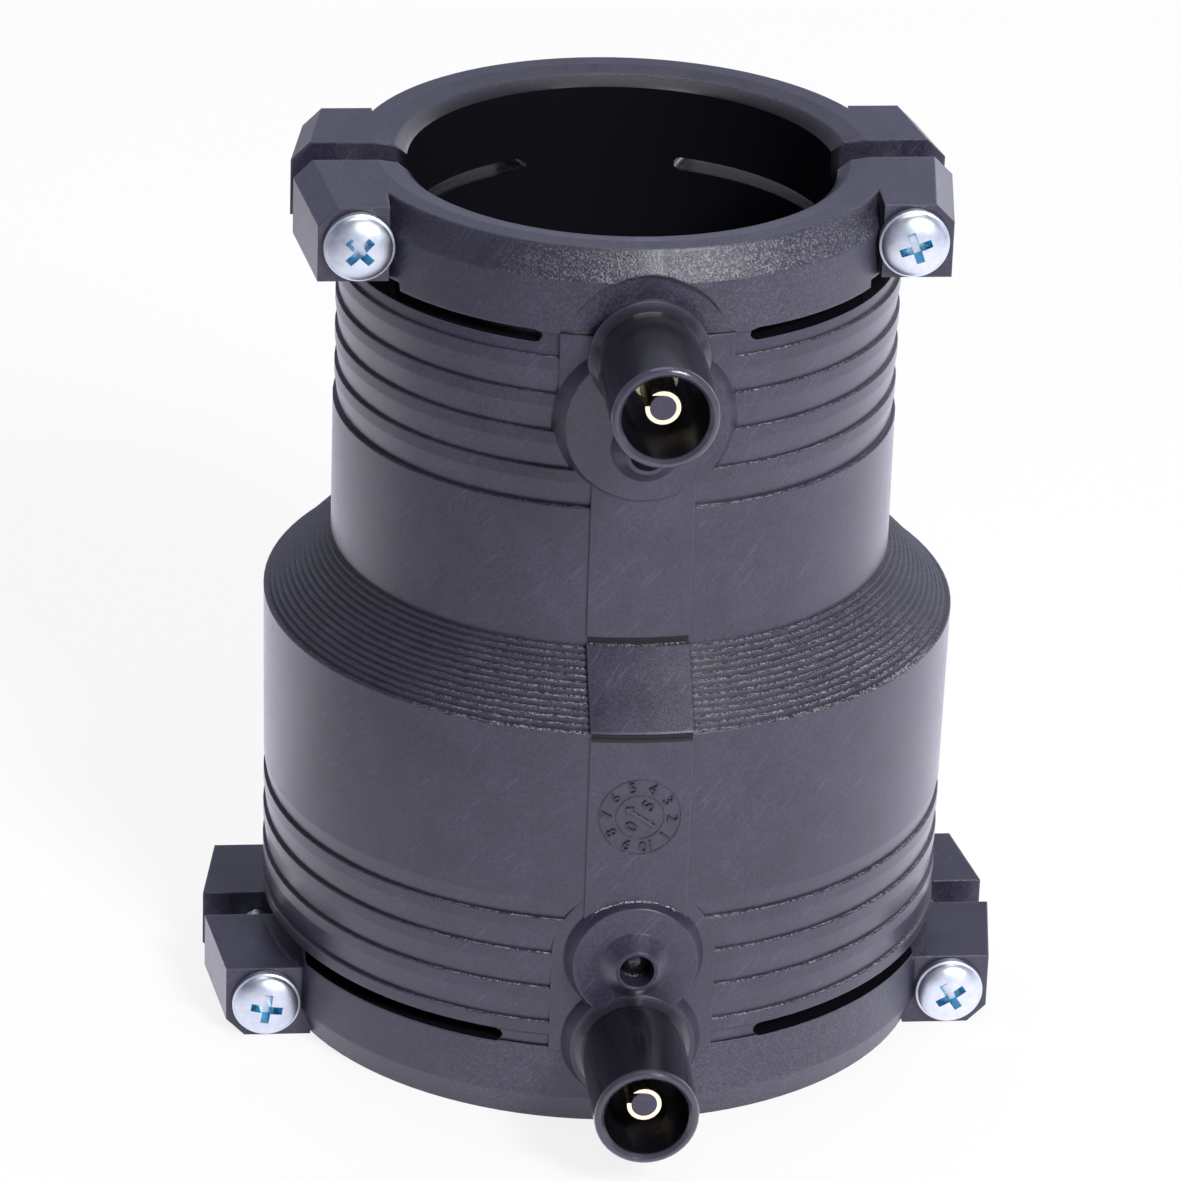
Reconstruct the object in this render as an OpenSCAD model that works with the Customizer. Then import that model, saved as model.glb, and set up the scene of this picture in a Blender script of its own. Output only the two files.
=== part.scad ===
// Electrofusion reducer: one moulded polyethylene body with a socket for a large pipe below and
// one for a small pipe above, a heating wire moulded into the walls, two shrouded terminals,
// two fusion indicators and a screwed pipe clamp at each mouth.
// The origin is on the socket axis in the plane of the large mouth. +Z points to the small
// socket, the terminals face -Y and the clamp lugs stand at +X and -X.

/* [Pipes] */
// Outside diameter of the pipe in the lower socket
large_pipe_od = 63; // [62.6:0.1:63.4]
// Outside diameter of the pipe in the upper socket
small_pipe_od = 50; // [49.6:0.1:50.4]
// Difference between a socket's bore and its pipe, on diameter
socket_clearance = 0.5; // [0.3:0.1:0.8]

/* [Body] */
// Outside diameter of the lower socket
large_od = 82.4; // [81.8:0.2:83.4]
// Outside diameter of the upper socket
small_od = 67; // [66.4:0.2:68]
// Height from mouth to mouth
body_h = 107.6; // [106.6:0.2:109]
// Height at which the outer shoulder begins
shoulder_z = 51.5; // [51:0.1:52]
// Height of the outer shoulder
shoulder_h = 8; // [7.6:0.1:8.4]
// Number of fine steps on the shoulder
shoulder_steps = 13; // [8:1:16]
// Depth of a pipe socket, from mouth to stop
socket_depth = 48; // [47:0.5:48.5]
// Inside diameter of the passage between the sockets
passage_d = 43; // [40:0.5:45]

/* [Clamp rings] */
// Height of a clamp ring
ring_h = 10; // [9.6:0.1:10.4]
// Height of the slot that frees a clamp ring from its socket
slot_h = 1.6; // [1.2:0.1:1.8]
// Half angle at front and back over which a clamp ring stays joined to its socket
joined_angle = 22.5; // [20:0.5:26]
// Width of the gap between the clamp halves
gap_w = 5.8; // [4.5:0.1:6.2]
// Distance that an upper lug stands out from its socket, at the gap
upper_lug_reach = 5.2; // [4.8:0.1:5.6]
// Distance from the axis to the front of the upper front lugs
upper_lug_front = 18.2; // [17.6:0.2:18.6]
// Distance from the axis to the back of the upper rear lugs
upper_lug_back = 14.2; // [13.6:0.2:15]
// Distance that a lower lug stands out from its socket, at the gap
lower_lug_reach = 7.2; // [6.8:0.1:7.6]
// Distance from the axis to the front of the lower front lugs
lower_lug_front = 17; // [16.4:0.2:17.6]
// Distance from the axis to the back of the lower rear lugs
lower_lug_back = 15.8; // [15:0.2:16.6]
// Height of a lug
lug_h = 9; // [8.6:0.1:9.4]

/* [Terminals] */
// Outside diameter of a terminal shroud
shroud_od = 12.2; // [11.8:0.1:12.6]
// Inside diameter of a terminal shroud
shroud_id = 9.8; // [9.4:0.1:10.2]
// Depth of a terminal shroud
shroud_depth = 12; // [11.5:0.25:12.5]
// Diameter of a terminal contact
contact_d = 4; // [3.96:0.02:4.04]
// Depth of a contact's tip below the shroud's rim
contact_recess = 3.3; // [2.8:0.1:3.7]
// Distance that a shroud's rim stands out from its socket
shroud_reach = 18.4; // [17.8:0.1:19]
// Distance from the upper mouth to the upper terminal's axis
upper_terminal_inset = 12.1; // [11.7:0.1:12.3]
// Distance from the lower mouth to the lower terminal's axis
lower_terminal_inset = 11.4; // [11:0.1:11.8]

/* [Fusion indicators] */
// Distance between a terminal's axis and its indicator's axis
indicator_offset = 11; // [10.8:0.1:11.4]
// Diameter of an indicator's hole
indicator_hole = 4.1; // [3.9:0.1:4.2]

/* [Heating wire] */
// Diameter of the wire
wire_d = 0.9; // [0.8:0.05:1]
// Distance from a socket's bore to the middle of the wire
wire_cover = 1.15; // [1.05:0.05:1.3]
// Pitch of the winding
wire_pitch = 3.2; // [2.8:0.1:3.4]
// Turns around the small socket
small_turns = 6; // [4:1:6]
// Turns around the large socket
large_turns = 7; // [5:1:7]

/* [Screws] */
// Diameter of a clamp screw's shank
screw_d = 4; // [3.8:0.1:4]
// Diameter of a clamp screw's head
head_d = 8.2; // [8:0.1:8.6]
// Height of a clamp screw's head
head_h = 2.6; // [2.4:0.1:2.8]
// Length of a clamp screw below its head
screw_l = 26; // [24:0.5:28]

/* [Hidden] */
$fn = 120;
eps = 0.01;

plastic = "#4d4b5b";
indicator_plastic = "#3a3944";
brass = "#e6d9ae";
zinc = "#d9dde2";
resistance_alloy = "#b8794c";

large_bore_r = (large_pipe_od + socket_clearance) / 2;
small_bore_r = (small_pipe_od + socket_clearance) / 2;
large_r = large_od / 2;
small_r = small_od / 2;
small_stop_z = body_h - socket_depth;
large_stop_z = socket_depth + 1.6;
shoulder_top = shoulder_z + shoulder_h;
upper_slot_z = body_h - ring_h - slot_h;
lower_slot_z = ring_h;
upper_rim = small_r + shroud_reach;
lower_rim = large_r + shroud_reach;
upper_terminal_z = body_h - upper_terminal_inset;
lower_terminal_z = lower_terminal_inset;

// The flared lip of a mouth: where its face begins, where its steep part ends, and their depths.
lip_w = 3.8;
lip_face_w = 2.3;
lip_shallow = 0.35;
lip_depth = 1.25;

// How far the cutters run past the body
past = 60;

// A clamp ring tapers out from its face to a crease, then stands nearly upright.
small_face_inset = 1.8;
large_face_inset = 1.4;
crease_depth = 3.6;
small_ring_r = small_r - 0.3;
large_ring_r = large_r - 0.15;
ring_draft = 0.1;
ring_step = 0.3;
lug_taper = 2;
lug_edge = 2.2;
// Between a screw's head and its ring, and between the head and the relief under the lug
head_room = 0.15;
relief_room = 0.7;
// The round end of a slot is this much lower than the slot.
slot_ease = 0.1;
// A clamp ring's edge laps into its slot by this much where the ring stays joined.
ring_lap = 0.2;

// Ribs around the sockets: each ledge faces up, stands upright below and then tapers in.
rib_pitch = 4.55;
rib_upright = 1.5;
rib_step = 0.42;
rib_count = 4;
small_rib_z = body_h - ring_h - slot_h - 1.5;
large_rib_z = 27.1;
// The large socket swells by this much on the radius, up to the shoulder.
large_swell = 0.25;

// The plain band that runs down the terminal side, over both sockets and the shoulder.
band_w = 12;
band_proud = 0.3;
band_break = 0.8;

// The plates that carry the shrouds and indicators.
upper_plate_r = 9.4;
lower_plate_r = 7.3;
upper_plate_y = small_r + 1.1;
lower_plate_y = large_r + 1.5;
upper_plate_end = body_h - 29.6;
plate_flank = 1.2;

boss_base_r = 4.1;
boss_rim_r = 2.5;
boss_h = 1.8;
pin_d = indicator_hole - 0.1;
pin_recess = 1.9;

contact_wall = 0.5;
contact_slit = 1.3;
contact_root = 3.3;
contact_flange_r = 2.6;
contact_flange_proud = 0.3;
rim_round = 0.6;

// A screw's head stands beside its ring, just clear of it.
function screw_x(ring_r, front) = sqrt(ring_r ^ 2 - front ^ 2) + head_d / 2 + head_room;
upper_screw_x = screw_x(small_ring_r, upper_lug_front);
lower_screw_x = screw_x(large_ring_r, lower_lug_front);
upper_screw_z = body_h - lug_h / 2;
lower_screw_z = lug_h / 2 + 0.2;

// Profiles, as lists of [radius, height]

// The outline of a stretch of ribs, read upwards from its lowest ledge, at crest radius r.
function ribs(r, top) = [
    for (i = [rib_count - 1 : -1 : 0])
        let (z = top - i * rib_pitch)
        each [[r, z - rib_upright], [r, z], [r - rib_step, z]]
];

// The steps of the shoulder, read upwards.
function steps() = [
    for (i = [0 : shoulder_steps - 1])
        let (r = large_r - i * (large_r - small_r) / shoulder_steps,
             z = shoulder_z + i * shoulder_h / shoulder_steps)
        each [[r, z], [r - (large_r - small_r) / shoulder_steps, z]]
];

function outer_profile() = concat(
    [[0, 0], [large_ring_r - large_face_inset, 0], [large_ring_r, crease_depth],
     [large_ring_r - ring_draft, ring_h + ring_lap],
     [large_ring_r - ring_draft - ring_step, ring_h + ring_lap],
     [large_ring_r - ring_step, large_rib_z - rib_pitch * (rib_count - 1) - rib_upright - 0.3]],
    ribs(large_r, large_rib_z),
    [[large_r, large_rib_z + 2.5], [large_r + large_swell, shoulder_z]],
    steps(),
    [[small_r, shoulder_top], [small_r, small_rib_z - rib_count * rib_pitch],
     [small_r - 0.15 - rib_step, small_rib_z - rib_count * rib_pitch]],
    ribs(small_r - 0.15, small_rib_z),
    [[small_ring_r - ring_draft - ring_step, body_h - ring_h - ring_lap],
     [small_ring_r - ring_draft, body_h - ring_h - ring_lap],
     [small_ring_r, body_h - crease_depth], [small_ring_r - small_face_inset, body_h],
     [0, body_h]]
);

function bore_profile() = [
    [0, -1], [large_bore_r + lip_w, -1], [large_bore_r + lip_w, 0],
    [large_bore_r + lip_face_w - 0.7, lip_shallow], [large_bore_r, lip_depth],
    [large_bore_r, large_stop_z], [passage_d / 2 + 4, large_stop_z],
    [passage_d / 2, small_stop_z - 3], [passage_d / 2, small_stop_z],
    [small_bore_r, small_stop_z], [small_bore_r, body_h - lip_depth - 0.3],
    [small_bore_r + lip_face_w - 0.8, body_h - lip_shallow], [small_bore_r + lip_w, body_h],
    [small_bore_r + lip_w, body_h + 1], [0, body_h + 1]
];

// Building blocks

// A cylinder that points to -Y, from the distance y0 to y1 off the axis, at height z.
module facing(r, y0, y1, z, r_end = undef, x = 0) {
    translate([x, -y0, z])
        rotate([90, 0, 0])
            cylinder(r1 = r, r2 = is_undef(r_end) ? r : r_end, h = y1 - y0);
}

// A plate with a round end, whose flanks lean out: radius r at its face, which is at distance y.
module plate(r, z_round, z_flat, y) {
    y0 = y - 6;
    base = r + plate_flank * 6 / 3;
    up = z_flat > z_round ? 1 : -1;
    facing(base, y0, y, z_round, r);
    translate([0, -y0, z_round])
        rotate([90, 0, 0])
            rotate([up * 90, 0, 0])
                translate([0, 0, up > 0 ? -abs(z_flat - z_round) : 0])
                    mirror([0, up > 0 ? 1 : 0, 0])
                        linear_extrude(abs(z_flat - z_round))
                            polygon([[-base, 0], [base, 0], [r, 6], [-r, 6]]);
}

// One lug in plan, towards +Y from the gap's middle. The outer side leans in from the gap.
module lug_plan(inner, out, depth) {
    polygon([[inner, 0], [out, 0], [out, gap_w / 2], [out - lug_taper, depth], [inner, depth]]);
}

// A cutter for the long edge between a lug's outer side and the face at height 0.
module lug_edge_cut(out, depth) {
    lean = atan(lug_taper / (depth - gap_w / 2));
    translate([out, gap_w / 2, 0])
        rotate([0, 0, lean])
            translate([-lug_edge, -past, 0])
                rotate([0, 45, 0]) cube([2 * lug_edge, 2 * past, 2 * lug_edge]);
}

// The front and rear lugs at +X, hanging down from height 0, with the face's outer edges cut off.
module lug_pair(inner, out, front, back) {
    for (side = [[-1, front], [1, back]])
        mirror([0, side[0] < 0 ? 1 : 0, 0])
            difference() {
                translate([0, 0, -(lug_h + ring_h) / 2])
                    linear_extrude((lug_h + ring_h) / 2) lug_plan(inner, out, side[1]);
                lug_edge_cut(out, side[1]);
            }
}

module lugs() {
    for (s = [0, 1])
        mirror([s, 0, 0]) {
            translate([0, 0, body_h])
                lug_pair(small_r - 5, small_r + upper_lug_reach, upper_lug_front, upper_lug_back);
            mirror([0, 0, 1])
                lug_pair(large_r - 5, large_r + lower_lug_reach, lower_lug_front, lower_lug_back);
        }
}

// The relief under the lugs and their part of the ring, which opens the slot up to them.
module lug_relief(screw_x, z0, z1) {
    for (s = [0, 1])
        mirror([s, 0, 0])
            translate([screw_x - head_d / 2 - relief_room, -past, z0])
                cube([past, 2 * past, z1 - z0]);
}

// The slot that frees a clamp ring, with round ends, on both sides.
module ring_slot(z) {
    for (side = [0, 180])
        rotate([0, 0, side - 90 + joined_angle]) {
            rotate_extrude(angle = 180 - 2 * joined_angle)
                translate([18, z]) square([40, slot_h]);
            for (a = [0, 180 - 2 * joined_angle])
                rotate([0, 0, a])
                    translate([18, 0, z + slot_h / 2])
                        rotate([0, 90, 0]) cylinder(d = slot_h - slot_ease, h = 40);
        }
}

// The gap between the clamp halves of one ring, on both sides.
module ring_gap(z, h) {
    for (s = [-1, 1])
        translate([s > 0 ? 18 : -58, -gap_w / 2, z]) cube([40, gap_w, h]);
}

// A terminal's shroud with its rounded rim and its flare, on a solid root.
module shroud(rim, z, plate_y) {
    translate([0, 0, z])
        rotate([90, 0, 0])
            rotate_extrude()
                polygon(concat(
                    [[0, plate_y - 8], [shroud_od / 2, plate_y - 8]],
                    [for (a = [0 : 30 : 90])
                        [shroud_od / 2 - rim_round * (1 - cos(a)),
                         rim - rim_round * (1 - sin(a))]],
                    [[0, rim]]));
    facing(shroud_od / 2 + 1, plate_y - 0.2, plate_y + 1, z, shroud_od / 2);
}

module shroud_cavity(rim, z) {
    facing(shroud_id / 2, rim - shroud_depth, rim + 1, z);
    facing(shroud_id / 2, rim - 0.5, rim + eps, z, shroud_id / 2 + 0.5);
}

// The polyethylene core that fills a contact.
module contact_core(rim, z) {
    facing(contact_d / 2 - contact_wall, rim - shroud_depth - 1, rim - contact_recess, z);
}

// A slit tube on a flange, which holds it in the plastic below the shroud's floor.
module contact(rim, z) {
    floor_y = rim - shroud_depth;
    root_y = floor_y - contact_root;
    tip_y = rim - contact_recess;
    slit_y = floor_y + 2 * contact_flange_proud;
    difference() {
        union() {
            facing(contact_d / 2, root_y, tip_y, z);
            facing(contact_flange_r, root_y, floor_y + contact_flange_proud, z);
        }
        facing(contact_d / 2 - contact_wall, root_y - 1, tip_y + 1, z);
        translate([-contact_d, -tip_y - 1, z + 0.2])
            cube([contact_d, tip_y + 1 - slit_y, contact_slit]);
    }
}

// An indicator's cone on its plate, and its hole down to just above the fusion zone.
module indicator_boss(plate_y, z) {
    facing(boss_base_r, plate_y - 1, plate_y, z);
    facing(boss_base_r, plate_y, plate_y + boss_h, z, boss_rim_r);
}

module indicator_hole(plate_y, z, floor_y) {
    facing(indicator_hole / 2, floor_y, plate_y + boss_h + 1, z);
}

module indicator_pin(plate_y, z, floor_y) {
    top = plate_y + boss_h - pin_recess;
    r = pin_d / 2;
    color(indicator_plastic)
        translate([0, -floor_y, z])
            rotate([90, 0, 0])
                rotate_extrude()
                    intersection() {
                        translate([0, top - floor_y - 2.2]) circle(2.2);
                        square([r, top - floor_y]);
                    }
    color(indicator_plastic) facing(r, floor_y, top - 1.4, z);
}

// The path of the heating wire, from the upper contact to the lower one, as points in space.

small_coil_r = small_bore_r + wire_cover;
large_coil_r = large_bore_r + wire_cover;
turn_points = 24;
upper_coil_z = upper_terminal_z - 8;
lower_coil_z = lower_terminal_z + 8.6 + wire_pitch * large_turns;
upper_wire_y = upper_rim - shroud_depth - contact_root;
lower_wire_y = lower_rim - shroud_depth - contact_root;
wire_drop = contact_d / 2 - contact_wall / 2;

// The angle runs from 0 at the terminals. The first and last part of a coil level out smoothly.
function around(r, a, z) = [r * sin(a), -r * cos(a), z];
function ease(t) = t * t * (3 - 2 * t);

function lead(r, y, z0, z1) = let (d = z1 > z0 ? 1 : -1) [
    [0, -y, z0], [0, -(y + r) / 2, z0], [0, -r - 1.2, z0],
    [0, -r - 0.35, z0 + d * 0.35], [0, -r, z0 + d * 1.2], [0, -r, z1 - d * 1.2]
];

function coil(r, z, turns) = [
    for (i = [0 : turns * turn_points])
        around(r, 360 * i / turn_points, z - wire_pitch * i / turn_points)
];

small_coil_end = upper_coil_z - wire_pitch * small_turns;
link_points = 14;
function link() = [
    for (i = [1 : link_points - 1])
        let (t = i / link_points)
        around(small_coil_r + (large_coil_r - small_coil_r) * ease(min(1, t * 1.5)), 360 * t,
               small_coil_end + (lower_coil_z - small_coil_end) * t)
];

function wire_path() = concat(
    lead(small_coil_r, upper_wire_y, upper_terminal_z - wire_drop, upper_coil_z),
    coil(small_coil_r, upper_coil_z, small_turns),
    link(),
    coil(large_coil_r, lower_coil_z, large_turns),
    let (back = lead(large_coil_r, lower_wire_y, lower_terminal_z + wire_drop,
                     lower_coil_z - wire_pitch * large_turns))
        [for (i = [len(back) - 1 : -1 : 0]) back[i]]
);

function unit(v) = v / norm(v);
function tangent(p, i) = unit(p[min(i + 1, len(p) - 1)] - p[max(i - 1, 0)]);
function flatten_to(v, t) = unit(v - (v * t) * t);

// One normal for each point, carried along so that the section never spins.
function normals(p) = [
    for (i = 0, n = flatten_to([1, 0, 0], tangent(p, 0)); i < len(p);
         i = i + 1, n = i < len(p) ? flatten_to(n, tangent(p, i)) : n)
        n
];

// A closed tube of the given diameter along the points.
module tube(p, d, sides = 6) {
    n = normals(p);
    rings = [
        for (i = [0 : len(p) - 1])
            let (b = cross(tangent(p, i), n[i]))
            [for (k = [0 : sides - 1])
                p[i] + d / 2 * (cos(360 * k / sides) * n[i] + sin(360 * k / sides) * b)]
    ];
    last = (len(p) - 1) * sides;
    polyhedron(
        points = [for (ring = rings) each ring],
        faces = concat(
            [[for (k = [0 : sides - 1]) k]],
            [for (i = [0 : len(p) - 2], k = [0 : sides - 1])
                let (a = i * sides + k, b = i * sides + (k + 1) % sides)
                each [[a, a + sides, b + sides], [a, b + sides, b]]],
            [[for (k = [sides - 1 : -1 : 0]) last + k]]));
}

module heating_wire() {
    color(resistance_alloy) tube(wire_path(), wire_d);
}

// The moulded body

module band() {
    intersection() {
        union() {
            for (span = [[ring_h + 12, shoulder_z - band_break / 2],
                         [shoulder_top + band_break, upper_plate_end + 3]])
                translate([-band_w / 2, -past, span[0]]) cube([band_w, past, span[1] - span[0]]);
        }
        rotate_extrude()
            polygon([[0, 0], [large_r + band_proud, 0], [large_r + band_proud, large_rib_z],
                     [large_r + large_swell + band_proud, shoulder_z],
                     [large_r, shoulder_z], [small_r, shoulder_top],
                     [small_r + band_proud, shoulder_top], [small_r + band_proud, body_h], [0, body_h]]);
    }
}

// The square patch of the band that covers the steps of the shoulder.
module shoulder_patch() {
    lift = band_proud + 0.35;
    patch_gap = 0.1;
    intersection() {
        translate([-band_w / 2, -past, shoulder_z + patch_gap])
            cube([band_w, past, shoulder_h - 2 * patch_gap]);
        rotate_extrude()
            polygon([[0, shoulder_z], [large_r + lift - 0.3, shoulder_z],
                     [small_r + lift, shoulder_top - patch_gap],
                     [0, shoulder_top - patch_gap]]);
    }
}

// The plain ground that the ribs stop at, beside a plate.
module plate_ground(r, z_round, z_flat, half) {
    intersection() {
        union() {
            facing(half, 20, past, z_round);
            translate([-half, -past, min(z_round, z_flat)])
                cube([2 * half, 40, abs(z_flat - z_round)]);
        }
        cylinder(r = r, h = body_h);
    }
}

module body() {
    upper_indicator_z = upper_terminal_z - indicator_offset;
    lower_indicator_z = lower_terminal_z + indicator_offset;
    color(plastic)
        difference() {
            union() {
                difference() {
                    union() {
                        rotate_extrude() polygon(outer_profile());
                        lugs();
                        band();
                        shoulder_patch();
                        plate_ground(large_r, lower_indicator_z, ring_h, 9.6);
                        plate_ground(small_r, upper_plate_end + 10, upper_slot_z + slot_h, 10);
                    }
                    // The ring is let in around the upper shroud.
                    intersection() {
                        facing(upper_plate_r, 32, 60, upper_terminal_z);
                        translate([-20, -60, body_h - ring_h]) cube([40, 40, 20]);
                    }
                }
                plate(upper_plate_r, upper_plate_end + upper_plate_r, body_h - ring_h, upper_plate_y);
                plate(lower_plate_r, lower_indicator_z, lower_terminal_z, lower_plate_y);
                facing(lower_plate_r + 2.4, lower_plate_y - 6, lower_plate_y, lower_terminal_z,
                       lower_plate_r);
                shroud(upper_rim, upper_terminal_z, upper_plate_y);
                shroud(lower_rim, lower_terminal_z, lower_plate_y);
                indicator_boss(upper_plate_y, upper_indicator_z);
                indicator_boss(lower_plate_y, lower_indicator_z);
            }
            rotate_extrude() polygon(bore_profile());
            ring_slot(upper_slot_z);
            ring_slot(lower_slot_z);
            ring_gap(upper_slot_z + slot_h / 2, 20);
            ring_gap(-5, lower_slot_z + slot_h / 2 + 5);
            difference() {
                shroud_cavity(upper_rim, upper_terminal_z);
                contact_core(upper_rim, upper_terminal_z);
            }
            difference() {
                shroud_cavity(lower_rim, lower_terminal_z);
                contact_core(lower_rim, lower_terminal_z);
            }
            contact(upper_rim, upper_terminal_z);
            contact(lower_rim, lower_terminal_z);
            indicator_hole(upper_plate_y, upper_indicator_z, small_coil_r + 2);
            indicator_hole(lower_plate_y, lower_indicator_z, large_coil_r + 2);
            lug_relief(upper_screw_x, upper_slot_z + slot_h / 2, body_h - lug_h);
            lug_relief(lower_screw_x, lug_h, lower_slot_z + slot_h / 2);
            for (s = [-1, 1]) {
                screw_hole(s * upper_screw_x, upper_screw_z, upper_lug_front, upper_lug_back);
                screw_hole(s * lower_screw_x, lower_screw_z, lower_lug_front, lower_lug_back);
            }
            tube(wire_path(), wire_d);
        }
}

// A clearance hole through the front lug and a screwed hole in the rear one.
module screw_hole(x, z, front, back) {
    facing(screw_d / 2 + 0.25, 0, front + 1, z, undef, x);
    facing(screw_d / 2, -back - 1, 1, z, undef, x);
}

// A clamp screw with a low domed head and a cross recess.
module clamp_screw(x, z, front) {
    color(zinc)
        translate([x, -front, z])
            rotate([90, 0, 0])
                difference() {
                    rotate_extrude()
                        polygon(concat(
                            [[0, -screw_l], [screw_d / 2 - 1, -screw_l], [screw_d / 2, -screw_l + 1.4],
                             [screw_d / 2, 0], [head_d / 2, 0], [head_d / 2, head_h * 0.42]],
                            [for (a = [20 : 10 : 90])
                                [head_d / 2 - 1.5 + 1.5 * cos(a),
                                 head_h * 0.42 + head_h * 0.58 * sin(a)]],
                            [[0, head_h]]));
                    intersection() {
                        for (a = [45, 135])
                            rotate([0, 0, a])
                                translate([-3, -0.55, head_h - 2.2]) cube([6, 1.1, 3]);
                        translate([0, 0, head_h - 2.2])
                            cylinder(r1 = 0.7, r2 = 3.2, h = 2.4);
                    }
                }
}

body();
heating_wire();
color(brass) contact(upper_rim, upper_terminal_z);  // upper_contact
color(brass) contact(lower_rim, lower_terminal_z);  // lower_contact
indicator_pin(upper_plate_y, upper_terminal_z - indicator_offset, small_coil_r + 2);  // upper_indicator_pin
indicator_pin(lower_plate_y, lower_terminal_z + indicator_offset, large_coil_r + 2);  // lower_indicator_pin
clamp_screw(-upper_screw_x, upper_screw_z, upper_lug_front);  // upper_left_screw
clamp_screw(upper_screw_x, upper_screw_z, upper_lug_front);  // upper_right_screw
clamp_screw(-lower_screw_x, lower_screw_z, lower_lug_front);  // lower_left_screw
clamp_screw(lower_screw_x, lower_screw_z, lower_lug_front);  // lower_right_screw
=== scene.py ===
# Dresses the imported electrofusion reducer: moulded polyethylene with plain and eroded mould
# faces, bright zinc-plated clamp screws, pale brass contacts and the mould's date dial.

from math import cos, pi, radians, sin
from types import SimpleNamespace

import bmesh
import bpy
from mathutils import Matrix, Vector


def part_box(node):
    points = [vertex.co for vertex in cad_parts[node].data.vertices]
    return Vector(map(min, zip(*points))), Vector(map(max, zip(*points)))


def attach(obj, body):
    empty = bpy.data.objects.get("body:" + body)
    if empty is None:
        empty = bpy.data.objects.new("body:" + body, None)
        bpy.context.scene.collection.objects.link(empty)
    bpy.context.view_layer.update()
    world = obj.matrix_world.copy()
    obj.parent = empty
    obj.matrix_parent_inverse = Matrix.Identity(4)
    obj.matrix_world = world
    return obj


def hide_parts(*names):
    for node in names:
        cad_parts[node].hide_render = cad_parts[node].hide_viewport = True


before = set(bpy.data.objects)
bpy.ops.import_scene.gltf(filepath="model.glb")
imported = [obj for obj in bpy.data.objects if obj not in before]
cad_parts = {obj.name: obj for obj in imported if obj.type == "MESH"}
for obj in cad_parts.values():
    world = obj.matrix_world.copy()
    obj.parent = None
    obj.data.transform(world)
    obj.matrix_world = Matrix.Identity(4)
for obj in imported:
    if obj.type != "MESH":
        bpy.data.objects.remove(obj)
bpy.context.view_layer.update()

MM = 0.001

# Camera, fitted to the photograph
IMAGE_PX = 1181
FOCAL_PX = 6407.66
SENSOR_MM = 36.0
CAMERA_PLACE = Vector((-79.765, -698.231, 374.487)) * MM
CAMERA_YAW, CAMERA_PITCH, CAMERA_ROLL = -0.1109, -0.4318, -0.0342

# Places on the body, in millimetres
BODY_H = 107.6
UPPER_RING_EDGE, LOWER_RING_EDGE, SLOT_H = 97.6, 10.0, 1.6
UPPER_RING_R, LOWER_RING_R = 33.2, 41.2
SHOULDER_LOW, SHOULDER_HIGH = 51.5, 59.5
UPPER_BORE_R, LOWER_BORE_R, BORE_LIP, STOP_Z = 25.25, 31.75, 1.0, 54.0
BAND_HALF, BAND_R, BAND_SWELL, BAND_FOOT_Z, BAND_BREAK = 6.0, 41.5, 0.25, 27.1, 0.8
UPPER_TERMINAL_Z, LOWER_TERMINAL_Z = 95.5, 11.4
UPPER_PLATE_Y, LOWER_PLATE_Y = 34.6, 42.7
UPPER_RIM_Y, LOWER_RIM_Y, RIM_DEPTH = 51.9, 59.6, 0.7
SHROUD_R, SHROUD_BORE_R, SHROUD_ROOT, CONTACT_R = 6.1, 4.9, 1.5, 2.1
UPPER_LEDGE_R, LOWER_LEDGE_R = 33.7, 41.8
RING_SEAM_HALF = 1.5

# How far a finish reaches past its own faces, and fades out, in millimetres
SLACK, RING_SKIN, TOP_SKIN, SLOT_SKIN, SLOT_SKIN_END = 0.1, 0.3, 0.3, 1.4, 0.6
BORE_FADE, SEAM_FADE, PLATE_FADE_OUT, PLATE_FADE_IN = 0.4, 0.15, 0.5, 0.3
PAST_TOP, PAST_FOOT = 200, -1

# The body's surface, in millimetres: erosion grit and its painted glints, flow clouds, scuffs, worn
# edges also painted paler as a highlight, and inner corners painted dark as shade
GRIT, GLINT_CELL, GRIT_DEPTH = 0.3, 0.17, 0.1
CLOUD = 7.0
SCUFF_LENGTH, SCUFF_DEPTH, SCUFF_WIDTH, SCUFF_LEAN = 5.0, 2.0, 0.4, radians(-50)
PLAIN_EDGE, ERODED_EDGE, CORNER_REACH = 0.3, 0.15, 0.35

# How strongly each shows, and how far a normal points up where a face counts as level
LEVEL = 0.7
GRIT_CONTRAST, SCUFF_CONTRAST = 1.6, 1.6
PITTED_SHARE, GLINT_LEVEL, LEDGE_GLINT = 0.55, 0.5, 2.3
SEAM_SMEAR, TOP_SMEAR, LEDGE_OPEN = 0.45, 0.6, 0.85
PLAIN_RELIEF, GRAIN_RELIEF, POLISHED_RELIEF = 0.16, 0.75, 0.01
GLINT_SIDE = (0.25, -0.97, 0.0)

# Roughness of the body's finishes
SATIN_LOW, SATIN_HIGH, ERODED_ROUGHER = 0.28, 0.38, 0.1
POLISHED_ROUGH, LIP_ROUGH, SLOT_ROUGH, DUSTY_ROUGH = 0.18, 0.34, 0.16, 0.75

# The date dial on the band, in millimetres and degrees
DIAL_Z, DIAL_R, DIAL_CORE_R = 41.1, 4.8, 2.8
DIAL_RELIEF, DIAL_SUNK = 0.22, 0.1
CIRCLE_WIDTH, CIRCLE_SHARE, POINTER_SHARE = 0.1, 0.35, 1.3
DIAL_NUMBERS, DIAL_FIRST_ANGLE, POINTER_ANGLE = 10, -40, 145
RING_NUMBER_H, CORE_NUMBER_H, CAPITAL_SHARE = 1.3, 1.5, 0.7
POINTER_HALF, POINTER_STEM, POINTER_BARB = 2.1, 0.16, 0.62
BARB_BACK, BARB_NECK = 1.25, 1.45

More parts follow.
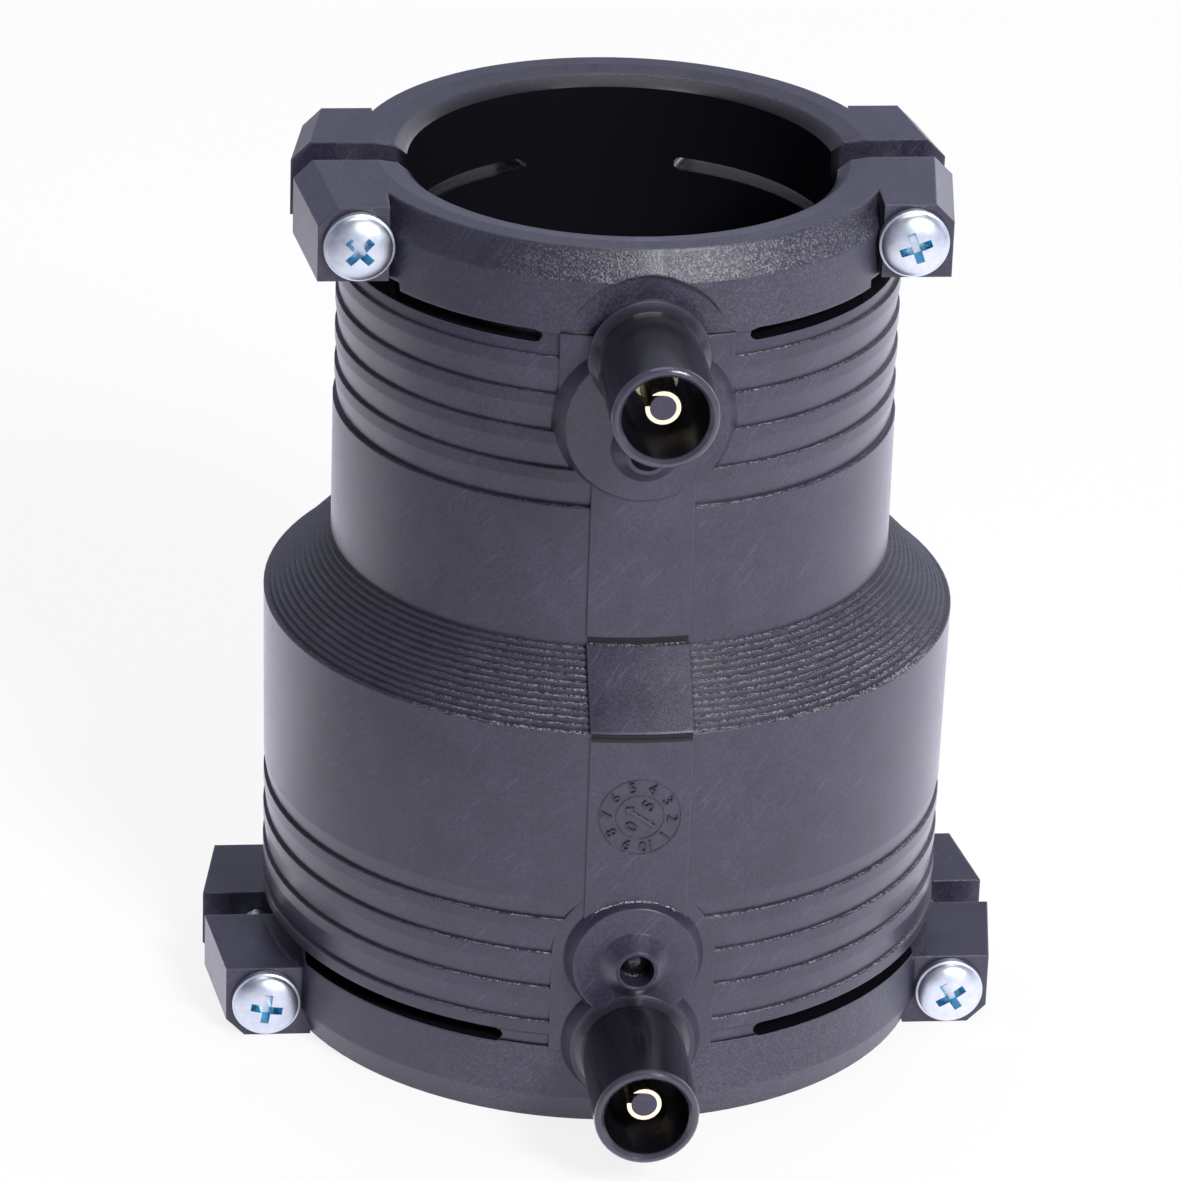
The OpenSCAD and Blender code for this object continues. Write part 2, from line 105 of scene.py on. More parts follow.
# The clamp screws, in millimetres
HEAD_R, HEAD_WALL, HEAD_H = 4.1, 1.0, 2.6
HEAD_EDGE, CROWN_INSET, NECK_R, NECK_DEPTH = 0.12, 0.25, 1.8, 0.3
SHANK_R, SHANK_ROOT_R, SHANK_L, SHANK_RISE = 2.0, 1.55, 26.0, 0.2
THREAD_PITCH, CREST_SHARE, THREAD_START, POINT_L, POINT_SHARE = 1.8, 0.28, 1.5, 2.2, 0.3
RECESS_REACH, RECESS_WIDTH, RECESS_DEPTH = 2.1, 1.05, 1.5

# Colours, as sRGB
PLASTIC_MID = "#1f1d2a"
PLASTIC_BLOOM = "#3d3a4e"
# Worn outer edges, also painted paler as a highlight
PLASTIC_EDGE_WEAR_AND_HIGHLIGHT = "#5d5b6d"
PLASTIC_PIT = "#1e1c27"
# Painted shade, for the hollows and the inner corners
PLASTIC_PAINTED_SHADE = "#131217"
# The shrouds' polished black, and their rims painted paler as a sheen of light
SHROUD_BLACK, SHROUD_RIM_SHEEN = "#1c1b22", "#3b3945"
# Painted shade in the band's grooves
GROOVE_PAINTED_SHADE = "#0a0a0c"
# Colours of the glints of light painted on the eroded grain
PAINTED_GLINT_COOL, PAINTED_GLINT_WARM = "#b6c2e2", "#cdc0ae"
# Near black polished plastic, also standing in for shade
POLISHED_BLACK_AND_SHADE, POLISHED_DARK_AND_SHADE = "#121116", "#1d1b22"
BRASS_SHADE, BRASS_PALE = "#e9dbad", "#f5ebc8"
WIRE_SHADE, WIRE_COPPER = "#9c6340", "#b0744c"
ZINC, ZINC_SHADE = "#d2d6da", "#aeb4bc"
ZINC_BLUE, ZINC_BLUE_DEEP = "#a6d6e6", "#66aeca"
PAPER_WHITE = "#ffffff"
FLOOR_WHITE, FLOOR_COOL, ROOM_COOL = "#f7f7f8", "#f1efff", "#dde2ff"


def linear(code):
    """An sRGB hex colour as linear RGBA."""
    parts = [int(code[i:i + 2], 16) / 255 for i in (1, 3, 5)]
    return [c / 12.92 if c <= 0.04045 else ((c + 0.055) / 1.055) ** 2.4 for c in parts] + [1.0]


def add(tree, kind, inputs=None, **settings):
    """A node of that kind, with its own settings, and each input set or linked to a socket or node."""
    node = tree.nodes.new("ShaderNode" + kind)
    for name, value in settings.items():
        setattr(node, name, value)
    for name, value in (inputs or {}).items():
        if isinstance(name, int):
            socket = node.inputs[name]
        else:
            socket = next(s for s in node.inputs if s.enabled and s.name == name)
        if isinstance(value, bpy.types.Node):
            value = next(s for s in value.outputs if s.enabled)
        if isinstance(value, bpy.types.NodeSocket):
            tree.links.new(value, socket)
        else:
            socket.default_value = value
    return node


def new_material(name, settings):
    """A material with one Principled shader whose plain values are set: (material, tree, shader)."""
    material = bpy.data.materials.new(name)
    material.use_nodes = True
    tree = material.node_tree
    shader = tree.nodes["Principled BSDF"]
    for socket, value in settings.items():
        shader.inputs[socket].default_value = value
    return material, tree, shader


def body_places(tree):
    """Where a point of the body lies, its distances from the middle, and how its face looks."""
    place = add(tree, "TexCoord").outputs["Object"]
    xyz = add(tree, "SeparateXYZ", {"Vector": place})
    x, y, z = xyz.outputs["X"], xyz.outputs["Y"], xyz.outputs["Z"]
    across = add(tree, "Math", {0: x}, operation="ABSOLUTE")
    plan = add(tree, "CombineXYZ", {"X": x, "Y": y})
    radius = add(tree, "VectorMath", {0: plan}, operation="LENGTH")
    geometry = add(tree, "NewGeometry")
    facing = add(tree, "SeparateXYZ", {"Vector": geometry.outputs["True Normal"]})
    return SimpleNamespace(place=place, x=x, y=y, z=z, across=across, radius=radius,
                           upward=facing.outputs["Z"])


def bores(tree, at):
    """The polished core of the mould made the bores: the distance past them, and their share."""
    reach = add(tree, "MapRange", {"Value": at.z, "From Min": STOP_Z * MM,
                                   "From Max": (STOP_Z + 1) * MM,
                                   "To Min": (LOWER_BORE_R + BORE_LIP) * MM,
                                   "To Max": (UPPER_BORE_R + BORE_LIP) * MM})
    past = add(tree, "Math", {0: at.radius, 1: reach}, operation="SUBTRACT")
    share = add(tree, "MapRange", {"Value": past, "From Min": -BORE_FADE * MM,
                                   "From Max": BORE_FADE * MM, "To Min": 1.0, "To Max": 0.0})
    return past, share


def shrouds(tree, at):
    """Polished inserts made the shrouds, but not the cores of the contacts: whole, rim and inside; the
    rim is painted paler as a sheen, and the inside dark as shade.
    """
    side = add(tree, "CombineXYZ", {"X": at.x, "Z": at.z})
    on_shroud, rim_painted_sheen, in_shroud = 0.0, 0.0, 0.0
    for axis_z, plate_y, rim_y in ((UPPER_TERMINAL_Z, UPPER_PLATE_Y, UPPER_RIM_Y),
                                   (LOWER_TERMINAL_Z, LOWER_PLATE_Y, LOWER_RIM_Y)):
        off_axis = add(tree, "VectorMath", {0: side, 1: (0, 0, axis_z * MM)}, operation="DISTANCE")
        near = add(tree, "MapRange", {"Value": off_axis, "From Min": (SHROUD_R + 2 * SLACK) * MM,
                                      "From Max": (SHROUD_R + SHROUD_ROOT) * MM,
                                      "To Min": 1.0, "To Max": 0.0})
        forward = add(tree, "MapRange", {"Value": at.y, "From Min": -(plate_y + PLATE_FADE_OUT) * MM,
                                         "From Max": -(plate_y - PLATE_FADE_IN) * MM,
                                         "To Min": 1.0, "To Max": 0.0})
        past_core = add(tree, "Math", {0: off_axis, 1: CONTACT_R * MM}, operation="GREATER_THAN")
        here = add(tree, "Math", {0: near, 1: forward}, operation="MULTIPLY")
        here = add(tree, "Math", {0: here, 1: past_core}, operation="MULTIPLY")
        outer = add(tree, "Math", {0: off_axis, 1: (SHROUD_BORE_R + SLACK) * MM},
                    operation="GREATER_THAN")
        # The front of the rim is painted paler as a sheen of light.
        rim_sheen_here = add(tree, "Math", {0: at.y, 1: -(rim_y - RIM_DEPTH) * MM}, operation="LESS_THAN")
        rim_sheen_here = add(tree, "Math", {0: rim_sheen_here, 1: outer}, operation="MULTIPLY")
        rim_sheen_here = add(tree, "Math", {0: rim_sheen_here, 1: here}, operation="MULTIPLY")
        inner = add(tree, "Math", {0: here, 1: outer}, operation="SUBTRACT", use_clamp=True)
        on_shroud = add(tree, "Math", {0: on_shroud, 1: here}, operation="MAXIMUM")
        rim_painted_sheen = add(tree, "Math", {0: rim_painted_sheen, 1: rim_sheen_here}, operation="MAXIMUM")
        in_shroud = add(tree, "Math", {0: in_shroud, 1: inner}, operation="MAXIMUM")
    return on_shroud, rim_painted_sheen, in_shroud


def slots(tree, at, in_bore):
    """The slots below the rings, made by polished slides between the bore and the outside; they are
    painted dark as their shade.
    """
    level_face = add(tree, "Math", {0: at.upward}, operation="ABSOLUTE")
    level_face = add(tree, "Math", {0: level_face, 1: LEVEL}, operation="GREATER_THAN")
    in_slot = 0.0
    for low, ring_r in ((UPPER_RING_EDGE - SLOT_H, UPPER_RING_R), (LOWER_RING_EDGE, LOWER_RING_R)):
        foot, top = low - SLACK / 2, low + SLOT_H + SLACK / 2
        above = add(tree, "Math", {0: at.z, 1: foot * MM}, operation="GREATER_THAN")
        below = add(tree, "Math", {0: at.z, 1: top * MM}, operation="LESS_THAN")
        inward = add(tree, "MapRange", {"Value": at.radius, "From Min": (ring_r - SLOT_SKIN) * MM,
                                        "From Max": (ring_r - SLOT_SKIN_END) * MM,
                                        "To Min": 1.0, "To Max": 0.0})
        reached = add(tree, "Math", {0: at.radius, 1: (ring_r + SLACK) * MM},
                      operation="LESS_THAN")
        reached = add(tree, "Math", {0: reached, 1: level_face}, operation="MULTIPLY")
        inward = add(tree, "Math", {0: inward, 1: reached}, operation="MAXIMUM")
        here = add(tree, "Math", {0: above, 1: below}, operation="MULTIPLY")
        here = add(tree, "Math", {0: here, 1: inward}, operation="MULTIPLY")
        in_slot = add(tree, "Math", {0: in_slot, 1: here}, operation="MAXIMUM")
    return add(tree, "Math", {0: in_slot, 1: in_bore}, operation="SUBTRACT", use_clamp=True)


def ledges(tree, at):
    """The upward faces of the ribs and of the shoulder's steps, between the two slots."""
    socket_r = add(tree, "MapRange", {"Value": at.z, "From Min": SHOULDER_HIGH * MM,
                                      "From Max": (SHOULDER_HIGH + SLACK) * MM,
                                      "To Min": LOWER_LEDGE_R * MM,
                                      "To Max": UPPER_LEDGE_R * MM})
    ledge = add(tree, "Math", {0: at.upward, 1: LEVEL}, operation="GREATER_THAN")
    for value, limit, compare in ((at.z, (LOWER_RING_EDGE + SLOT_H) * MM, "GREATER_THAN"),
                                  (at.z, (UPPER_RING_EDGE - SLOT_H) * MM, "LESS_THAN"),
                                  (at.radius, socket_r, "LESS_THAN")):
        within = add(tree, "Math", {0: value, 1: limit}, operation=compare)
        ledge = add(tree, "Math", {0: ledge, 1: within}, operation="MULTIPLY")
    return ledge


def spark_eroded(tree, at, ledge, polished, in_slot):
    """The clamp rings, the shoulder's steps and the ledges, less what the polished parts made."""
    eroded = 0.0
    for low, high, ring_r, least, smear in (
            (UPPER_RING_EDGE, PAST_TOP, UPPER_RING_R, RING_SEAM_HALF, SEAM_SMEAR),
            (PAST_FOOT, LOWER_RING_EDGE, LOWER_RING_R, -1, 0.0),
            (SHOULDER_LOW, SHOULDER_HIGH, LOWER_RING_R, BAND_HALF + SLACK, 0.0)):
        above = add(tree, "Math", {0: at.z, 1: low * MM}, operation="GREATER_THAN")
        below = add(tree, "Math", {0: at.z, 1: high * MM}, operation="LESS_THAN")
        within = add(tree, "Math", {0: at.radius, 1: (ring_r + RING_SKIN) * MM},
                     operation="LESS_THAN")
        off_seam = add(tree, "MapRange", {"Value": at.across, "From Min": (least - SEAM_FADE) * MM,
                                          "From Max": least * MM, "To Min": smear, "To Max": 1.0})
        zone = above
        for share in (below, within, off_seam):
            zone = add(tree, "Math", {0: zone, 1: share}, operation="MULTIPLY")
        eroded = add(tree, "Math", {0: eroded, 1: zone}, operation="MAXIMUM")
    eroded = add(tree, "Math", {0: eroded, 1: ledge}, operation="MAXIMUM")
    for smooth in (polished, in_slot):
        eroded = add(tree, "Math", {0: eroded, 1: smooth}, operation="SUBTRACT", use_clamp=True)
    return eroded


def standing_grain(tree, at, eroded):
    """The eroded grain is open on bevels and ledges, and smeared on upright faces and the top."""
    open_grain = add(tree, "MapRange", {"Value": at.upward, "From Min": 0.1, "From Max": 0.4,
                                        "To Min": 0.25, "To Max": 1.0})
    flat_top = add(tree, "Math", {0: at.z, 1: (BODY_H - TOP_SKIN) * MM}, operation="GREATER_THAN")
    smeared = add(tree, "Math", {0: flat_top, 1: -TOP_SMEAR, 2: open_grain},
                  operation="MULTIPLY_ADD")
    return add(tree, "Math", {0: eroded, 1: smeared}, operation="MULTIPLY")


def band_grooves(tree, at):
    """The band breaks off in a narrow groove above and below the shoulder, at the front only; it is
    painted near black as its shade.
    """
    groove_shade_mask = add(tree, "Math", {0: at.across, 1: (BAND_HALF - SLACK) * MM}, operation="LESS_THAN")
    in_front = add(tree, "Math", {0: at.y, 1: 0.0}, operation="LESS_THAN")
    groove_shade_mask = add(tree, "Math", {0: groove_shade_mask, 1: in_front}, operation="MULTIPLY")
    off_middle = add(tree, "Math", {0: at.z, 1: (SHOULDER_LOW + SHOULDER_HIGH) / 2 * MM},
                     operation="SUBTRACT")
    off_middle = add(tree, "Math", {0: off_middle}, operation="ABSOLUTE")
    half = (SHOULDER_HIGH - SHOULDER_LOW) / 2
    for edge, compare in ((half - SLACK, "GREATER_THAN"), (half + BAND_BREAK, "LESS_THAN")):
        side_of = add(tree, "Math", {0: off_middle, 1: edge * MM}, operation=compare)
        groove_shade_mask = add(tree, "Math", {0: groove_shade_mask, 1: side_of}, operation="MULTIPLY")
    return groove_shade_mask


def clouds_and_scuffs(tree, at, grit):
    """Faint flow clouds of a few millimetres, and hair-fine scuffs that lean from lower left."""
    clouds = add(tree, "TexNoise", {"Vector": at.place, "Scale": 1 / (CLOUD * MM), "Detail": 5.0,
                                    "Roughness": 0.7})
    cloud_share = add(tree, "MapRange", {"Value": clouds, "From Min": 0.35, "From Max": 0.75,
                                         "To Min": 0.2, "To Max": 0.7})
    leaning = add(tree, "Mapping", {"Vector": at.place, "Rotation": (0, SCUFF_LEAN, 0),
                                    "Scale": (SCUFF_LENGTH * MM, SCUFF_DEPTH * MM,
                                              SCUFF_WIDTH * MM)}, vector_type="TEXTURE")
    scuffs = add(tree, "TexNoise", {"Vector": leaning, "Scale": 1.0, "Detail": 2.0})
    scuff = add(tree, "MapRange", {"Value": scuffs, "From Min": 0.62, "From Max": 0.74})
    scuff = add(tree, "Math", {0: scuff, 1: cloud_share}, operation="MULTIPLY")
    grain = add(tree, "Math", {0: grit, 1: 0.5}, operation="SUBTRACT")
    grain = add(tree, "Math", {0: grain, 1: GRIT_CONTRAST, 2: cloud_share},
                operation="MULTIPLY_ADD")
    return add(tree, "Math", {0: scuff, 1: SCUFF_CONTRAST, 2: grain}, operation="MULTIPLY_ADD",
               use_clamp=True)


def painted_grain_glints(tree, at, ledge, grained, colour):
    """Painted glints of light on single eroded grains, in small cells, some cool and some warm."""
    cells = add(tree, "TexVoronoi", {"Vector": at.place, "Scale": 1 / (GLINT_CELL * MM)})
    draw = add(tree, "SeparateColor", {"Color": cells.outputs["Color"]})
    bright = add(tree, "MapRange", {"Value": draw.outputs["Red"], "From Min": GLINT_LEVEL,
                                    "From Max": 1.0, "To Min": 0.0, "To Max": 0.3})
    # They are painted mostly at the front and a little to the right, where the lamps' light falls on
    # the grain.
    frontward = add(tree, "VectorMath", {0: at.place, 1: GLINT_SIDE},
                    operation="DOT_PRODUCT").outputs["Value"]
    front = add(tree, "MapRange", {"Value": frontward, "From Min": 22 * MM, "From Max": 33 * MM,
                                   "To Min": 0.08, "To Max": 1.0})
    # The painted glints follow the grain's share, so they are most on the bevels and ledges that face
    # up to the light, and strongest on the ledges.
    fronted = add(tree, "Math", {0: grained, 1: front}, operation="MULTIPLY")
    on_ledge = add(tree, "Math", {0: ledge, 1: LEDGE_GLINT, 2: 1.0}, operation="MULTIPLY_ADD")
    fronted = add(tree, "Math", {0: fronted, 1: on_ledge}, operation="MULTIPLY")
    painted_glint = add(tree, "Math", {0: bright, 1: fronted}, operation="MULTIPLY", use_clamp=True)
    painted_glint_colour = add(tree, "Mix", {"Factor": draw.outputs["Green"], "A": linear(PAINTED_GLINT_COOL),
                                     "B": linear(PAINTED_GLINT_WARM)}, data_type="RGBA")
    return add(tree, "Mix", {"Factor": painted_glint, "A": colour, "B": painted_glint_colour}, data_type="RGBA")


def painted_edges_and_corners(tree, ledge, colour):
    """Outer edges are painted paler, partly as burnished wear and partly as a painted highlight, and
    inner corners are painted darker as their shade, less so on the ledges.
    """
    inside = add(tree, "AmbientOcclusion", {"Distance": PLAIN_EDGE * MM}, inside=True,
                 only_local=True, samples=6)
    edge_wear_and_highlight = add(tree, "MapRange", {"Value": inside.outputs["AO"], "From Min": 0.5,
                                     "From Max": 0.95, "To Min": 0.25, "To Max": 0.0})
    edged = add(tree, "Mix", {"Factor": edge_wear_and_highlight, "A": colour, "B": linear(PLASTIC_EDGE_WEAR_AND_HIGHLIGHT)},
                data_type="RGBA")
    # Inner corners are painted darker as their shade.
    outside = add(tree, "AmbientOcclusion", {"Distance": CORNER_REACH * MM}, samples=6)
    corner_shade = add(tree, "MapRange", {"Value": outside.outputs["AO"], "From Min": 0.45,
                                    "From Max": 0.95, "To Min": 0.7, "To Max": 0.0})
    off_ledge = add(tree, "Math", {0: ledge, 1: -LEDGE_OPEN, 2: 1.0}, operation="MULTIPLY_ADD")
    corner_shade = add(tree, "Math", {0: corner_shade, 1: off_ledge}, operation="MULTIPLY")
    return add(tree, "Mix", {"Factor": corner_shade, "A": edged, "B": linear(PLASTIC_PAINTED_SHADE)},
               data_type="RGBA")


# Moulded polyethylene is a waxy satin plastic. It is glossiest where the mould was polished, and
# greyer where the mould was spark-eroded, with painted glints of light there. Its bores, slots and
# shroud insides are painted dark as shade.
def moulded_polyethylene():
    material, tree, shader = new_material("moulded_polyethylene", {"IOR": 1.51})
    at = body_places(tree)
    past_bore, in_bore = bores(tree, at)
    on_shroud, rim_painted_sheen, in_shroud = shrouds(tree, at)
    in_slot = slots(tree, at, in_bore)
    polished = add(tree, "Math", {0: in_bore, 1: on_shroud}, operation="MAXIMUM")
    # The bores, the slots and the insides of the shrouds are painted dark as their shade.
    painted_shade_hollows = add(tree, "Math", {0: in_bore, 1: in_slot}, operation="MAXIMUM")
    painted_shade_hollows = add(tree, "Math", {0: painted_shade_hollows, 1: in_shroud}, operation="MAXIMUM")
    ledge = ledges(tree, at)
    eroded = spark_eroded(tree, at, ledge, polished, in_slot)
    grained = standing_grain(tree, at, eroded)
    groove_shade_mask = band_grooves(tree, at)
    # The grit is drawn a little coarser than it is, so that it shows.
    grit = add(tree, "TexNoise", {"Vector": at.place, "Scale": 1 / (GRIT * MM), "Detail": 2.0,
                                  "Roughness": 0.7})
    shade = clouds_and_scuffs(tree, at, grit)

    plain = add(tree, "Mix", {"Factor": shade, "A": linear(PLASTIC_MID),
                              "B": linear(PLASTIC_BLOOM)}, data_type="RGBA")
    # The pits between the eroded grains are darker than the plain faces.
    pitted = add(tree, "Math", {0: grained, 1: PITTED_SHARE}, operation="MULTIPLY")
    colour = add(tree, "Mix", {"Factor": pitted, "A": plain, "B": linear(PLASTIC_PIT)},
                 data_type="RGBA")
    # Glints of light are painted onto the eroded grain.
    colour = painted_grain_glints(tree, at, ledge, grained, colour)
    # Edges are painted paler, as wear and as a highlight, and inner corners are painted darker as
    # shade.
    colour = painted_edges_and_corners(tree, ledge, colour)
    # Painted over the colour: shade in the band's grooves, the shrouds' polished black, a paler
    # painted sheen on their rims, and shade in the hollows.
    for share, cover in ((groove_shade_mask, GROOVE_PAINTED_SHADE), (on_shroud, SHROUD_BLACK), (rim_painted_sheen, SHROUD_RIM_SHEEN),
                         (painted_shade_hollows, PLASTIC_PAINTED_SHADE)):
        colour = add(tree, "Mix", {"Factor": share, "A": colour, "B": linear(cover)},
                     data_type="RGBA")
    tree.links.new(colour.outputs[2], shader.inputs["Base Color"])

    satin = add(tree, "MapRange", {"Value": shade, "To Min": SATIN_LOW, "To Max": SATIN_HIGH})
    # The bore is glossy, and its lip is scuffed by the pipes.
    bore_rough = add(tree, "MapRange", {"Value": past_bore, "From Min": -0.9 * MM,
                                        "From Max": -0.5 * MM, "To Min": POLISHED_ROUGH,
                                        "To Max": LIP_ROUGH})
    gloss = add(tree, "Mix", {"Factor": on_shroud, "A": bore_rough, "B": POLISHED_ROUGH},
                data_type="FLOAT")
    rough = add(tree, "Mix", {"Factor": polished, "A": satin, "B": gloss}, data_type="FLOAT")
    rougher = add(tree, "Math", {0: eroded, 1: ERODED_ROUGHER}, operation="MULTIPLY")
    rough = add(tree, "Math", {0: rough, 1: rougher}, operation="ADD")
    # The slots are as smooth as the bore, and the band's grooves hold dust.
    for share, level in ((in_slot, SLOT_ROUGH), (groove_shade_mask, DUSTY_ROUGH)):
        rough = add(tree, "Mix", {"Factor": share, "A": rough, "B": level}, data_type="FLOAT")
    tree.links.new(rough.outputs[0], shader.inputs["Roughness"])

    # Edges are a little rounder where the mould was eroded.
    edge_r = add(tree, "Math", {0: eroded, 1: ERODED_EDGE * MM, 2: PLAIN_EDGE * MM},
                 operation="MULTIPLY_ADD")
    rounded = add(tree, "Bevel", {"Radius": edge_r}, samples=4)
    plain_normal = add(tree, "NewGeometry").outputs["Normal"]
    rounded = add(tree, "Mix", {"Factor": painted_shade_hollows, "A": rounded, "B": plain_normal},
                  data_type="VECTOR")
    relief = add(tree, "Math", {0: grained, 1: GRAIN_RELIEF, 2: PLAIN_RELIEF},
                 operation="MULTIPLY_ADD")
    relief = add(tree, "Mix", {"Factor": polished, "A": relief, "B": POLISHED_RELIEF},
                 data_type="FLOAT")
    bump = add(tree, "Bump", {"Strength": relief, "Distance": GRIT_DEPTH * MM, "Height": grit,
                              "Normal": rounded})
    tree.links.new(bump.outputs[0], shader.inputs["Normal"])
    return material


# The indicator pins and the dial's numbers are the same plastic from a polished mould, with a clean
# gloss. It is painted near black, which also stands in for the shade in the indicator holes and on the
# numbers.
def polished_polyethylene_painted_dark():
    material, tree, shader = new_material("polished_polyethylene_painted_dark", {"IOR": 1.51})
    place = add(tree, "TexCoord").outputs["Object"]
    grain = add(tree, "TexNoise", {"Vector": place, "Scale": 1 / (0.6 * MM), "Detail": 3.0})
    colour = add(tree, "Mix", {"Factor": grain, "A": linear(POLISHED_BLACK_AND_SHADE),
                               "B": linear(POLISHED_DARK_AND_SHADE)}, data_type="RGBA")
    tree.links.new(colour.outputs[2], shader.inputs["Base Color"])
    roughness = add(tree, "MapRange", {"Value": grain, "To Min": 0.16, "To Max": 0.26})
    tree.links.new(roughness.outputs[0], shader.inputs["Roughness"])
    return material


# A bare or plated metal: its grain, in millimetres, varies its shade and gloss a little.
def bright_metal(name, hex_low, hex_high, grain_mm, rough_low, rough_high):
    material, tree, shader = new_material(name, {"Metallic": 1.0})
    place = add(tree, "TexCoord").outputs["Object"]
    grain = add(tree, "TexNoise", {"Vector": place, "Scale": 1 / (grain_mm * MM), "Detail": 4.0})
    colour = add(tree, "Mix", {"Factor": grain, "A": linear(hex_low), "B": linear(hex_high)},
                 data_type="RGBA")
    tree.links.new(colour.outputs[2], shader.inputs["Base Color"])
    roughness = add(tree, "MapRange", {"Value": grain, "To Min": rough_low, "To Max": rough_high})
    tree.links.new(roughness.outputs[0], shader.inputs["Roughness"])
    bump = add(tree, "Bump", {"Strength": 0.12, "Distance": 0.02 * MM, "Height": grain})
    tree.links.new(bump.outputs[0], shader.inputs["Normal"])
    return material


# A matt white board. The camera and reflections see it bright, and it keeps a soft shadow.
def stage_white(name):
    material, tree, shader = new_material(name, {"Base Color": linear(FLOOR_WHITE),
                                                 "Roughness": 0.9})
    rays = add(tree, "LightPath")
    in_mirror = rays.outputs["Is Glossy Ray"]
    seen = add(tree, "Math", {0: rays.outputs["Is Camera Ray"], 1: in_mirror},
               operation="MAXIMUM")
    share = add(tree, "Math", {0: seen, 1: 0.85}, operation="MULTIPLY")
    # In reflections the floor is painted brightest, as a pool of the lamps' light, at the right and
    # behind.
    spot = add(tree, "TexCoord").outputs["Object"]
    place = add(tree, "SeparateXYZ", {"Vector": spot})
    away = add(tree, "VectorMath", {0: spot}, operation="LENGTH").outputs["Value"]
    rightward = add(tree, "MapRange", {"Value": place.outputs["X"], "From Min": -0.2,
                                       "From Max": 0.0, "To Min": 0.7, "To Max": 2.1})
    far_fade = add(tree, "MapRange", {"Value": away, "From Min": 0.25, "From Max": 0.7,
                                      "To Min": 1.0, "To Max": 0.3})
    rightward = add(tree, "Math", {0: rightward, 1: far_fade}, operation="MULTIPLY")
    behind = add(tree, "MapRange", {"Value": place.outputs["Y"], "From Min": -0.05,
                                    "From Max": 0.04, "To Min": 0.0, "To Max": 2.0})
    near_fade = add(tree, "MapRange", {"Value": away, "From Min": 0.12, "From Max": 0.35,
                                       "To Min": 1.0, "To Max": 0.3})
    behind = add(tree, "Math", {0: behind, 1: near_fade}, operation="MULTIPLY")
    painted_light_pool = add(tree, "Math", {0: rightward, 1: behind}, operation="MAXIMUM")
    # Under the part the floor is painted dark in reflections, as its shadow.
    painted_shadow_under = add(tree, "MapRange", {"Value": away, "From Min": 0.03, "From Max": 0.045,
                                   "To Min": 0.15, "To Max": 1.0})
    painted_light_pool = add(tree, "Math", {0: painted_light_pool, 1: painted_shadow_under}, operation="MULTIPLY")
    strength = add(tree, "Mix", {"Factor": in_mirror, "A": 1.0, "B": painted_light_pool}, data_type="FLOAT")
    tint = add(tree, "Mix", {"Factor": in_mirror, "A": linear(PAPER_WHITE),
                             "B": linear(FLOOR_COOL)}, data_type="RGBA")
    glow = add(tree, "Emission", {"Color": tint, "Strength": strength})
    mixed = add(tree, "MixShader", {0: share, 1: shader.outputs[0], 2: glow})
    tree.links.new(mixed.outputs[0], tree.nodes["Material Output"].inputs["Surface"])
    return material


def mesh_object(name, mesh, *materials):
    """A piece made of that mesh, with a slot for each material."""
    piece = bpy.data.objects.new(name, mesh)
    bpy.context.scene.collection.objects.link(piece)
    for material in materials:
        mesh.materials.append(material)
    return piece


def to_mesh(bm, name, smooth_angle=35):
    """A finished mesh, smooth but for edges sharper than the angle in degrees."""
    mesh = bpy.data.meshes.new(name)
    bm.to_mesh(mesh)
    bm.free()
    mesh.shade_smooth()
    mesh.set_sharp_from_angle(angle=radians(smooth_angle))
    return mesh


def around(r, count):
    """Points evenly spaced on a circle, starting on X, as (x, y) pairs."""
    turns = [2 * pi * i / count for i in range(count)]
    return [(r * cos(turn), r * sin(turn)) for turn in turns]


def turned(profile, segments):
    """A closed mesh turned about Z from [radius, height] pairs that start and end on the axis."""
    bm = bmesh.new()
    rings = [[bm.verts.new((x, y, h)) for x, y in around(r, segments if r else 1)]
             for r, h in profile]
    for a, b in zip(rings, rings[1:]):
        for i in range(segments):
            j = (i + 1) % segments
            corners = [a[i % len(a)], a[j % len(a)], b[j % len(b)], b[i % len(b)]]
            bm.faces.new(list(dict.fromkeys(corners)))
    bmesh.ops.recalc_face_normals(bm, faces=bm.faces)
    return bm


def screw_head_profile():
    """A low pan head, seat down, from the axis at the shank to the axis at the crown."""
    steps = 10
    rise = HEAD_H - HEAD_WALL - HEAD_EDGE
    crown = [((HEAD_R - CROWN_INSET) * cos(pi / 2 * i / steps),
              HEAD_WALL + HEAD_EDGE + rise * sin(pi / 2 * i / steps)) for i in range(steps)]
    outline = [(0, NECK_DEPTH), (NECK_R, NECK_DEPTH), (NECK_R, 0), (HEAD_R - HEAD_EDGE, 0),
               (HEAD_R, HEAD_EDGE), (HEAD_R, HEAD_WALL)] + crown + [(0, HEAD_H)]
    return [(r * MM, h * MM) for r, h in outline]


def cross_recess():
    """The cutter for a cross recess, crown up: two blades that narrow towards their foot."""
    bm = bmesh.new()
    # A blade's reach, half its width, and its height.
    foot = (RECESS_REACH * 0.5, RECESS_WIDTH * 0.38, HEAD_H - RECESS_DEPTH)
    crown = (RECESS_REACH * 1.1, RECESS_WIDTH * 0.5, HEAD_H + 0.4)
    for turn in (0, pi / 2):
        spin = Matrix.Rotation(turn, 3, "Z")
        low, high = [
            [bm.verts.new(spin @ Vector((side * reach, edge * half, height)) * MM)
             for side, edge in ((-1, -1), (1, -1), (1, 1), (-1, 1))]
            for reach, half, height in (foot, crown)]
        bm.faces.new(reversed(low))
        bm.faces.new(high)
        for i in range(4):
            j = (i + 1) % 4
            bm.faces.new((low[i], low[j], high[j], high[i]))
    return bm


